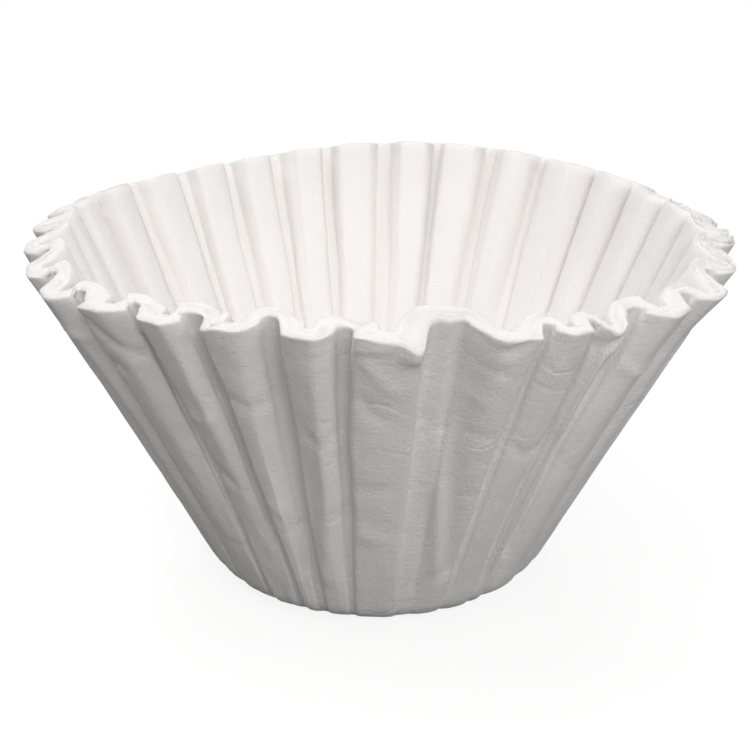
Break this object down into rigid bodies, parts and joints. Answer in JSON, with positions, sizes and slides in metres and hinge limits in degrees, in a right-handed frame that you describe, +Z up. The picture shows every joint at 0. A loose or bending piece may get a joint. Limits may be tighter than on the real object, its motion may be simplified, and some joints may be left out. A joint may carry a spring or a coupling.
{
  "type": "paper coffee filter",
  "caption": "Basket-shaped paper coffee filter with a flat round base, a fluted conical wall and a thick, layered, wavy rim.",
  "frame": {"origin": "centre of the base's underside", "axes": "+Z up along the cup's axis, towards the open rim; +X to the right and -Y towards the viewer of the picture"},
  "size_m": [0.1317, 0.1322, 0.0724],
  "materials": {
    "filter_paper": "matte"
  },
  "bodies": {
    "root": {"fluted_filter": "filter_paper"}
  },
  "joints": []
}
